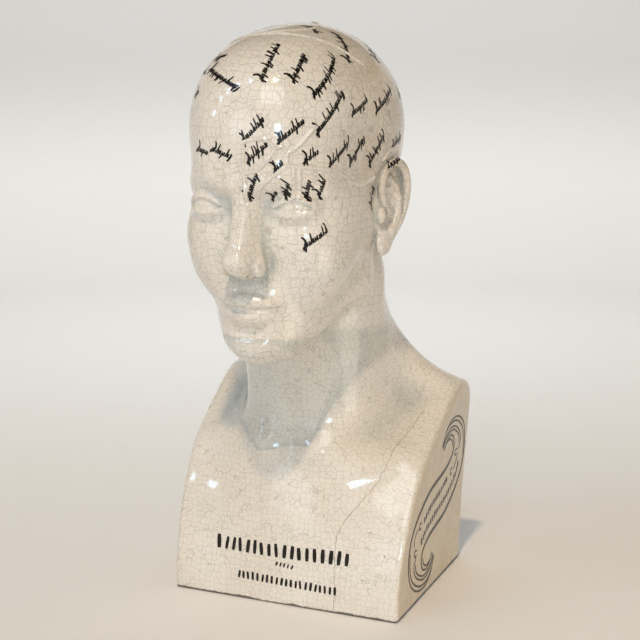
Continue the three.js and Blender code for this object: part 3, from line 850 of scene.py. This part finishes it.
def make_bust():
    across = axis_points(GRID_X)
    axes = [np.r_[-across[:0:-1], across], axis_points(GRID_Y), axis_points(GRID_Z)]
    points, faces = surface(casting, axes)
    points, normals = settle(casting, points, SETTLE_ROUNDS)
    points[:, 2] = np.clip(points[:, 2], 0, HEIGHT)
    bust = mesh_object("glazed_bust", points, faces, normals, GLAZE)
    # painted shade in the hollows comes from this value, together with the pooled glaze
    add_value(bust.data, "pool_and_shade", hollowness(points, normals))
    add_value(bust.data, "side_shade", painted_side_shade(points, normals))
    add_value(bust.data, "stain_and_shade", stained_and_shaded(points))
    add_value(bust.data, "throat", throat_pool_and_shadow_inside(points))
    claim(bust, "bust")


make_bust()

# Strips that lie on the surface: raised lines, print and the hairline crack
HEAD_MIDDLE = on_head(0, -20, -10)
RAY_STEPS = 40
RAY_SHARE = 0.9  # of the distance to the surface that a ray goes at each step


def outward(start, ways):
    """Where rays from inside the bust come out of it."""
    ways = np.array(ways, float) / np.linalg.norm(ways, axis=1)[:, None]
    reach = np.zeros(len(ways))
    for _ in range(RAY_STEPS):
        reach -= RAY_SHARE * casting(start + ways * reach[:, None])
    return start + ways * reach[:, None]


def at_degrees(places):
    """Points of the head's surface, from degrees round from the front and up from its middle."""
    turn, rise = np.radians(np.array(places, float)).T
    ways = np.stack([np.cos(rise) * np.sin(turn), -np.cos(rise) * np.cos(turn), np.sin(rise)], 1)
    return outward(HEAD_MIDDLE, ways)


def strip_faces(lengths, width):
    """Faces of strips laid one after another, of these lengths and this width in points."""
    faces = []
    start = 0
    for count in lengths:
        for i in range(start, start + count - 1):
            for j in range(width - 1):
                a = i * width + j
                faces.append((a, a + width, a + width + 1, a + 1))
        start += count
    return np.array(faces)


def tipped(normals, across, side):
    """Normals tipped sideways by as much as the rows of points across a strip rise and fall."""
    cross = np.gradient(across, axis=1)
    flat = side[:, None, :]
    rise = (cross * normals).sum(-1) / np.maximum(np.abs((cross * flat).sum(-1)), 1e-6)
    return normals - rise[..., None] * flat


def strips(name, runs, profile, material):
    """A mesh of strips: each run is its points and its half width, and the profile across it has a share of
    the half width, a lift above the surface and a depth of pooled glaze and painted shade at each step."""
    along = np.vstack([np.gradient(points, axis=0) for points, _ in runs])
    half = np.concatenate([np.broadcast_to(width, len(points)) for points, width in runs])
    centres, normals = settle(casting, np.vstack([points for points, _ in runs]), SETTLE_ROUNDS + 1)
    side = np.cross(normals, along)
    side /= np.maximum(length(side), 1e-9)[:, None]
    rows = []
    row_normals = []
    for share, lift, _ in profile:
        points, normals = settle(casting, centres + side * (share * half)[:, None], SETTLE_ROUNDS)
        rows.append(points + lift * normals)
        row_normals.append(normals)
    across = np.stack(rows, 1)
    normals = np.stack(row_normals, 1)
    if len(profile) > 2:
        normals = tipped(normals, across, side)
    faces = strip_faces([len(points) for points, _ in runs], len(profile))
    piece = mesh_object(name, across.reshape(-1, 3), faces, normals.reshape(-1, 3), material)
    add_value(piece.data, "pool_and_shade", np.tile([pool_and_shade for _, _, pool_and_shade in profile], len(centres)))
    claim(piece)


# Raised lines between the regions of the head's left side, in degrees round and up
RIDGES = [
    [(1, 31), (8, 32.5), (15, 32), (18, 29), (16, 26), (10, 21), (5, 19.5), (1, 19)],
    [(2, 31), (2, 19), (3, 6)],
    [(40, 38), (36, 35), (31, 31), (25, 28), (22, 30), (18, 29)],
    [(25, 28), (24, 23), (21, 20), (15, 16), (10, 11), (8, 6)],
    [(24, 23), (30, 22), (43, 22), (57, 21), (70, 16), (84, 14), (97, 17)],
    [(19.5, 17), (20.5, 12), (21, 8)],
    [(28, 22), (28, 14), (28, 7)],
    [(31, 22), (31, 14), (31, 7)],
    [(-60, 70), (-30, 75), (8, 77), (42, 75), (59, 73), (77, 69), (95, 60)],
    [(-30, 75), (5, 79), (55, 81), (110, 80), (165, 77)],
    [(101, 24), (107, 27), (115, 26), (122, 21)],
]
# Across a ridge: share of the half width, lift, and the pooled glaze with painted shade at each step
RIDGE_PROFILE = [(-1, -0.05, 0.14), (-0.66, 0.1, 0.3), (-0.3, 0.56, 0.06), (0, 0.74, 0), (0.3, 0.56, 0.06),
                 (0.66, 0.1, 0.3), (1, -0.05, 0.14)]
RIDGE_HALF_WIDTH = 1.4
RIDGE_STEPS = 12

ridges = [(at_degrees(spline(places, RIDGE_STEPS)), RIDGE_HALF_WIDTH) for places in RIDGES]
strips("region_ridges", ridges, RIDGE_PROFILE, GLAZE)

# Rows of strokes on the head where the print stands, from start to end in degrees round and up
HEAD_ROWS = [
    [(10, 51), (18, 68)], [(27, 51), (37, 63)], [(38, 47), (64, 64)], [(77, 62), (108, 75)],
    [(117, 57), (150, 66)], [(39, 35), (60, 51)], [(65, 44), (83, 49)], [(89, 44), (113, 48)],
    [(123, 44), (130, 42)], [(-33, 57), (-2, 49)], [(-39, 61), (-23, 62)], [(1, 31), (13, 39)],
    [(-31, 29), (-20, 27)], [(-18, 29), (-5, 26)], [(3, 24), (15, 31)], [(19, 31), (33, 39)],
    [(17, 19), (22, 24)], [(32, 24), (41, 29)], [(47, 23), (64, 35)], [(66, 25), (80, 37)],
    [(88, 24), (98, 35)], [(107, 28), (120, 30)], [(103, 20), (113, 22)], [(4, 6), (9, 19)],
    [(15, 7), (19, 11)], [(23, 7), (25, 15)], [(34, 6), (36, 16)], [(41, 7), (45, 17)],
    [(32, -18), (46, -9)], [(95, -3), (100, 11)], [(108, 85), (73, 77)], [(-43, 57), (-36, 55)],
    [(-40, 48), (-33, 48)],
]
HIDDEN_FROM = 62  # degrees: rows from here to the back are repeated on the right side
BACK_FROM = 116
BACK_TURNS = (138, 158, 178, 198)
BACK_RISES = (2, 24, 46)
BACK_ROW = [(-5, -3), (5, 5)]  # from a back row's place to its start and its end
ROW_STEPS = 9
LIFT = 0.06
FLAT_PROFILE = [(-1, LIFT, 0), (1, LIFT, 0)]
random = np.random.default_rng(7)

# How a row of strokes looks, in millimetres and shares of a plain stroke's height
FIELDS = "height half_width pitch slant first tall drop joined"
Style = namedtuple("Style", FIELDS, defaults=(1.0, 1.0, 0.0, False))
HEAD_STYLE = Style(2.2, 0.52, 1.10, 0.45, 2.8, 2.2, 0.8, True)
LARGE_STYLE = Style(7.0, 1.12, 4.10, 0.02)
SMALL_STYLE = Style(2.4, 0.48, 1.90, 0.20)
MIDDLE_STYLE = Style(4.3, 0.72, 2.70, 0.02)
SCROLL_STYLE = Style(3.6, 1.05, 3.00, 0.15)

# How the strokes of a row vary: shares of the style's height and width, bows in heights, added slants
HEIGHTS = (0.92, 1.08)
WIDTHS = (0.85, 1.1)
BOWS = (-0.1, 0.18)
SWAYS = (-0.13, 0.13)
KINDS = 5  # of stroke, of which one is tall and one drops below the row
TAPER = 0.25
STROKE_STEPS = 6
FEWEST = 3
INSET = 0.2  # of the first stroke from the row's start, in strokes

# The first stroke of a row, the tall ones, and the line that joins the feet
FIRST_BOW = 0.3
FIRST_WIDTH = 1.15
FIRST_DROP = 0.35
TALL_WIDTH = 0.8
JOIN_RISE = 0.2
JOIN_ZIGZAG = 0.25
JOIN_WIDTH = 0.55


def stroke(foot, way, up, height, half_width, slant, bow):
    """One stroke with a slight bow: its points and its tapering half width."""
    t = np.linspace(0, 1, STROKE_STEPS)[:, None]
    swell = np.sin(math.pi * t)
    points = foot + (up + slant * way) * height * t + way * height * bow * swell
    return points, half_width * (1 - TAPER + TAPER * swell[:, 0])


def along_row(line, pitch):
    """Places at an even pitch along a line on the surface, with the way up at each, and the way along."""
    line, normals = settle(casting, line, SETTLE_ROUNDS)
    reach = np.r_[0, np.cumsum(np.linalg.norm(np.diff(line, axis=0), axis=1))]
    count = max(int(reach[-1] / pitch), FEWEST)
    way = line[-1] - line[0]
    way /= max(np.linalg.norm(way), 1e-6)
    places = []
    for i in range(count):
        s = (i + INSET) / count * reach[-1]
        at = np.array([np.interp(s, reach, line[:, axis]) for axis in range(3)])
        normal = np.array([np.interp(s, reach, normals[:, axis]) for axis in range(3)])
        up = np.cross(normal, way)
        places.append((at, up / np.linalg.norm(up)))
    return places, way


def row_stroke(i, foot, way, up, style):
    """The row's stroke of this number: the first is the tallest, and the others vary by chance."""
    height = style.height * random.uniform(*HEIGHTS)
    half_width = style.half_width * random.uniform(*WIDTHS)
    bow = random.uniform(*BOWS) if style.joined else 0
    slant = style.slant + (0 if style.joined else random.uniform(*SWAYS))
    kind = random.integers(KINDS)
    if i == 0:
        height *= style.first
        bow = FIRST_BOW * (style.first > 1)
        half_width *= FIRST_WIDTH
        foot = foot - FIRST_DROP * style.drop * style.height * up
    elif kind == 0:
        height *= style.tall
        half_width *= TALL_WIDTH if style.tall > 1 else 1
    elif kind == 1 and style.drop:
        foot = foot - style.drop * style.height * (up + style.slant * way)
        height *= 1 + style.drop
    return stroke(foot, way, up, height, half_width, slant, bow)


def stroke_row(line, style):
    """Strokes in a row through their middles, separate or joined near their feet."""
    places, way = along_row(line, style.pitch)
    strokes = []
    feet = []
    for i, (at, up) in enumerate(places):
        foot = at - 0.5 * style.height * up
        feet.append(foot + (JOIN_RISE + JOIN_ZIGZAG * (i % 2)) * style.height * up)
        strokes.append(row_stroke(i, foot, way, up, style))
    if style.joined:
        strokes.append((np.array(feet), JOIN_WIDTH * style.half_width))
    return strokes


def repeated(start, end):
    """Whether a row is also on the right side, where the photograph doesn't show it."""
    return min(start[0], end[0]) > HIDDEN_FROM and end[0] < BACK_FROM


def head_rows():
    rows = list(HEAD_ROWS)
    for (turn, rise), (end_turn, end_rise) in HEAD_ROWS:
        if repeated((turn, rise), (end_turn, end_rise)):
            rows.append([(-end_turn, end_rise), (-turn, rise)])
    for turn in BACK_TURNS:
        rows += [[(turn + a, rise + b) for a, b in BACK_ROW] for rise in BACK_RISES]
    strokes = []
    for start, end in rows:
        strokes += stroke_row(at_degrees(np.linspace(start, end, ROW_STEPS)), HEAD_STYLE)
    return strokes


# Rows on the chest, from start to end as across and up in millimetres
CHEST_ROWS = [
    ((-39, 29), (39, 29.5), LARGE_STYLE),
    ((-4, 22.5), (7, 21.5), SMALL_STYLE),
    ((-26, 13.5), (32, 12), MIDDLE_STYLE),
]


INSIDE = 0.9  # of the way across, where the rays to the front start


def on_front(places):
    """Points of the block's front from places across and up."""
    places = np.array(places, float)
    start = np.stack([places[:, 0] * INSIDE, np.zeros(len(places)), places[:, 1]], 1)
    ends = np.stack([places[:, 0], np.full(len(places), -HALF_DEPTH), places[:, 1]], 1)
    return np.vstack([outward(a, [b - a]) for a, b in zip(start, ends)])


def chest_rows():
    strokes = []
    for start, end, style in CHEST_ROWS:
        strokes += stroke_row(on_front(np.linspace(start, end, ROW_STEPS)), style)
    return strokes


# The scroll on each side face, back and up in millimetres from its middle. Its lines below are turned by half
# a turn to make its other half: the heavy edge of the band from curl to curl, and the thin lines in the curl
SCROLL_MIDDLE = (4.7, 47.6)
SCROLL_EDGE = [
    (1, 30), (3, 35), (7, 39.5), (14, 42.4), (23, 42.4), (32, 39.3), (39, 33.5), (42.8, 25), (43.2, 16),
    (40.6, 8), (34.5, 1), (24, -6), (13, -10.8), (2, -13), (-9, -15.2), (-17.5, -18.6), (-21.5, -22.5),
    (-22.3, -27), (-19.5, -31.8), (-14, -33.6), (-8.5, -31.8), (-5, -28),
]
CURL_LINES = [
    [(0.5, 31), (4.3, 36.6), (9, 39.6), (15.5, 40.9), (23.3, 40), (31, 36.7), (37, 31.8), (40.6, 24.5),
     (41.4, 16)],
    [(1.2, 29.9), (4.4, 33.6), (9.1, 36.5), (14.4, 38), (20.8, 37.3), (28.5, 33.8), (33.3, 29.2), (34, 25),
     (31.6, 21)],
    [(2.2, 28.9), (5.9, 32.8), (10.8, 35.3), (15.9, 36.1), (20.5, 35.3), (26.7, 32.4), (30.8, 28.7),
     (31.5, 25)],
    [(4, 27.3), (7.9, 30.8), (13.6, 31.6), (18.5, 29), (20, 25.5)],
]
SCROLL_LINKS = [[(31, 19.5), (29.5, 15.5), (25, 11.5)], [(-35.5, -14), (-35.5, -9.5), (-31, -5.5)]]
SCROLL_ROWS = [[(34.5, 14), (29, 6), (16, -0.8), (0, -5.2), (-17, -10.5), (-24.5, -15.5)],
               [(16, 9.5), (3, 4.5), (-10, 1.3), (-21.5, -4)]]
RINGS = [(27.1, 20.7), (21.3, 11.1), (-27.3, -5.4), (-32.7, -18.6)]
RING_RADIUS = 1.8
RING_ENDS = (0.6, 1.8 * math.pi)
RING_STEPS = 12
THIN = 0.54
HEAVY = 1.25
HEAVIEST_AT = 0.58  # share of the edge from its start
HEAVY_SPREAD = 0.24
HEAVY_LEVEL = 1.25
LINK_WIDTH = 0.8
EDGE_STEPS = 6
LINE_STEPS = 5


def on_side(places, side):
    """Points of a side face from places back and up from the scroll's middle."""
    places = np.array(places, float) + SCROLL_MIDDLE
    x = side * half_width_at(places[:, 1])
    return np.stack([x, places[:, 0], places[:, 1]], 1)


def ring(centre):
    angle = np.linspace(*RING_ENDS, RING_STEPS)
    return np.array(centre) + RING_RADIUS * np.stack([np.cos(angle), np.sin(angle)], 1)


def scroll(side):
    """The scroll on one side. The right one, which the photograph doesn't show, has no lines in its curls."""
    edge = spline(SCROLL_EDGE, EDGE_STEPS)
    from_heaviest = np.abs(np.linspace(0, 1, len(edge)) - HEAVIEST_AT)
    weight = mix(THIN, HEAVY, np.clip(HEAVY_LEVEL - from_heaviest / HEAVY_SPREAD, 0, 1))
    runs = []
    for turn in (1, -1):
        runs.append((on_side(turn * edge, side), weight))
        for places in CURL_LINES if side > 0 else []:
            runs.append((on_side(turn * spline(places, LINE_STEPS), side), THIN))
    for places in SCROLL_LINKS:
        runs.append((on_side(spline(places, LINE_STEPS), side), LINK_WIDTH * THIN))
    for centre in RINGS:
        runs.append((on_side(ring(centre), side), THIN))
    for row in SCROLL_ROWS:
        runs += stroke_row(on_side(spline(row, LINE_STEPS)[::-side], side), SCROLL_STYLE)
    return runs


strips("print_strokes", head_rows() + chest_rows() + scroll(1) + scroll(-1), FLAT_PROFILE, PRINT)

# Hairline crack from the left shoulder down the chest to the foot, across, back and up in millimetres
HAIRLINE = [
    (57, 7, 97), (54, -8, 90), (50, -24, 80), (45, -35, 66), (38, -44, 56), (31, -51, 45), (29, -53, 33),
    (29.5, -53.5, 18), (29, -53.6, 2),
]
HAIRLINE_STEPS = 8
HAIRLINE_WANDER = 0.25
HAIRLINE_HALF_WIDTH = 0.09

hairline = spline(HAIRLINE, HAIRLINE_STEPS)
hairline[1:-1, 0] += random.normal(0, HAIRLINE_WANDER, len(hairline) - 2)
strips("hairline_crack", [(hairline, HAIRLINE_HALF_WIDTH)], FLAT_PROFILE, SPECK)

# Dark specks burnt into the glaze, in millimetres, with their half widths
SPECKS = [
    ((68.6, -11, 78), 0.45), ((47, 7, 98), 0.3), ((55, -48, 33), 0.35), ((-34, -32, 92), 0.3),
    ((5, -54, 9), 0.3), ((44, -52, 20), 0.25), ((-44, -50, 15), 0.25), ((30, 50, 60), 0.35),
    ((-20, 53, 30), 0.3), ((-68, 10, 55), 0.35), ((-35, 20, 270), 0.3), ((12, 40, 240), 0.3),
]
SPECK_WAY = (0.2, 0.3, 0.9)
SPECK_REACH = 1.3  # half widths from a speck's middle to its end
SPECK_STEPS = 5
SPECK_TAPER = 0.8


def speck(place, half_width):
    t = np.linspace(-1, 1, SPECK_STEPS)[:, None]
    line = np.array(place) + SPECK_REACH * half_width * t * SPECK_WAY
    return line, half_width * (1 - SPECK_TAPER * t[:, 0] ** 2)


strips("glaze_specks", [speck(*row) for row in SPECKS], FLAT_PROFILE, SPECK)

# Stage, lights and the camera of the photograph, in metres and degrees
CAMERA_TURN = 23.1
CAMERA_PITCH = 10.4
CAMERA_AWAY = 0.6982
CAMERA_ASIDE = -0.0011
CAMERA_HEIGHT = 0.2715
LENS_IN_PIXELS = 1307.0
PICTURE = 640
SENSOR = 36.0
STAGE_RADIUS = 1.5
STAGE_BEND = 0.45
STAGE_TOP = 0.9
STAGE_SIDES = 96
STAGE_BEND_STEPS = 12
PAPER = colour(0.95, 0.94, 0.93)
# painted shade: the backdrop grows greyer towards its top, where the light falls off
SHADED_PAPER = colour(0.70, 0.70, 0.70)
SHADE_TO_TOP = (0.10, 0.32, 0, 1)


def around(turn, away, height):
    """A place round the bust, from degrees towards its left and metres."""
    angle = math.radians(turn)
    return Vector((away * math.sin(angle), -away * math.cos(angle), height))


def make_camera():
    camera = bpy.data.cameras.new("camera")
    camera.sensor_width = SENSOR
    camera.lens = LENS_IN_PIXELS / PICTURE * SENSOR
    holder = add_object("camera", camera)
    aside = around(CAMERA_TURN + 90, CAMERA_ASIDE, 0)
    holder.location = around(CAMERA_TURN, CAMERA_AWAY, CAMERA_HEIGHT) + aside
    holder.rotation_euler = (math.radians(90 - CAMERA_PITCH), 0, math.radians(CAMERA_TURN))
    bpy.context.scene.camera = holder


def stage_paper():
    """White paper with painted shade, greyer towards the top of the backdrop."""
    material, shader, place = new_material("stage_paper", PAPER_SHINE)
    fill(shader, {"Base Color": mixed(ramp(height_of(place), SHADE_TO_TOP), PAPER, SHADED_PAPER)})
    return material


def stage_profile():
    """The stage's outline from near its middle outwards: places out and up."""
    flat = STAGE_RADIUS - STAGE_BEND
    angles = np.linspace(0, math.pi / 2, STAGE_BEND_STEPS)
    bend = [(flat + STAGE_BEND * math.sin(a), STAGE_BEND * (1 - math.cos(a))) for a in angles]
    return [(flat / 2, 0.0), *bend, (STAGE_RADIUS, STAGE_TOP)]


def make_stage():
    """A round floor that curves up all round the bust into a low pale backdrop."""
    profile = stage_profile()
    turns = np.linspace(0, 2 * math.pi, STAGE_SIDES, endpoint=False)
    points = [(away * math.cos(t), away * math.sin(t), height) for away, height in profile for t in turns]
    faces = [tuple(range(STAGE_SIDES))]
    for ring_number in range(len(profile) - 1):
        for i in range(STAGE_SIDES):
            j = (i + 1) % STAGE_SIDES
            corners = (i, i + STAGE_SIDES, j + STAGE_SIDES, j)
            faces.append(tuple(ring_number * STAGE_SIDES + k for k in corners))
    mesh = bpy.data.meshes.new("stage")
    mesh.from_pydata(points, [], faces)
    mesh.polygons.foreach_set("use_smooth", [True] * len(faces))
    mesh.materials.append(stage_paper())
    stage = add_object("stage", mesh)
    stage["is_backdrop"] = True


LIT_MIDDLE = Vector((0, -0.03, 0.18))


def make_light(name, turn, rise, away, size, power, tone, aim=LIT_MIDDLE):
    """A soft light, so many degrees towards the bust's left and up and so many metres from its middle."""
    lamp = bpy.data.lights.new(name, "AREA")
    lamp.shape = "RECTANGLE"
    lamp.size, lamp.size_y = size
    lamp.energy = power
    lamp.color = tone
    holder = add_object(name, lamp)
    level = away * math.cos(math.radians(rise))
    holder.location = LIT_MIDDLE + around(turn, level, away * math.sin(math.radians(rise)))
    holder.rotation_euler = (aim - holder.location).to_track_quat("-Z", "Y").to_euler()
    holder.visible_camera = False


BACKDROP = around(CAMERA_TURN + 180, STAGE_RADIUS, 0.1)
PANES = [(-32, 51), (-39, 44), (-46, 36), (-52, 27), (-58, 14)]  # of the window to the left
PANE = (1.2, (0.075, 0.1), 0.28, (0.50, 0.73, 1.0))
WORLD_TONE = colour(1.0, 0.85, 0.65)
WORLD_STRENGTH = 0.10

# Lights: degrees towards the bust's left and up, metres away, size, watts, colour, and where some are aimed
LIGHTS = [
    ("key", 12, 57, 2.3, (0.12, 0.12), 20, (1.0, 0.76, 0.50)),
    ("front", 12, 38, 1.9, (1.0, 0.7), 5.8, (0.94, 0.97, 1.0)),
    ("flash", 20, 6, 0.75, (0.12, 0.12), 0.55, (0.50, 0.78, 1.0)),
    ("low_window", -20, 8, 1.2, (0.5, 0.4), 0.85, (0.70, 0.86, 1.0)),
    ("low_right", 70, -22, 0.36, (0.2, 0.1), 0.11, (1.0, 0.90, 0.76), Vector((0.06, 0, 0.06))),
    *[(f"pane_{i}", turn, rise, *PANE) for i, (turn, rise) in enumerate(PANES)],
    ("backdrop_light", CAMERA_TURN + 180, 55, 0.9, (0.8, 0.3), 5.9, (0.82, 0.93, 1.0), BACKDROP),
]


def make_world():
    world = bpy.data.worlds.new("world")
    world.use_nodes = True
    background = next(n for n in world.node_tree.nodes if n.type == "BACKGROUND")
    fill(background, {"Color": WORLD_TONE, "Strength": WORLD_STRENGTH})
    bpy.context.scene.world = world
    bpy.context.scene.view_settings.view_transform = "Standard"


make_camera()
make_stage()
for light in LIGHTS:
    make_light(*light)
make_world()

boxes = {"cad": cad_box, "visual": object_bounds()}
{key: [[float(v) for v in corner] for corner in box] for key, box in boxes.items()}
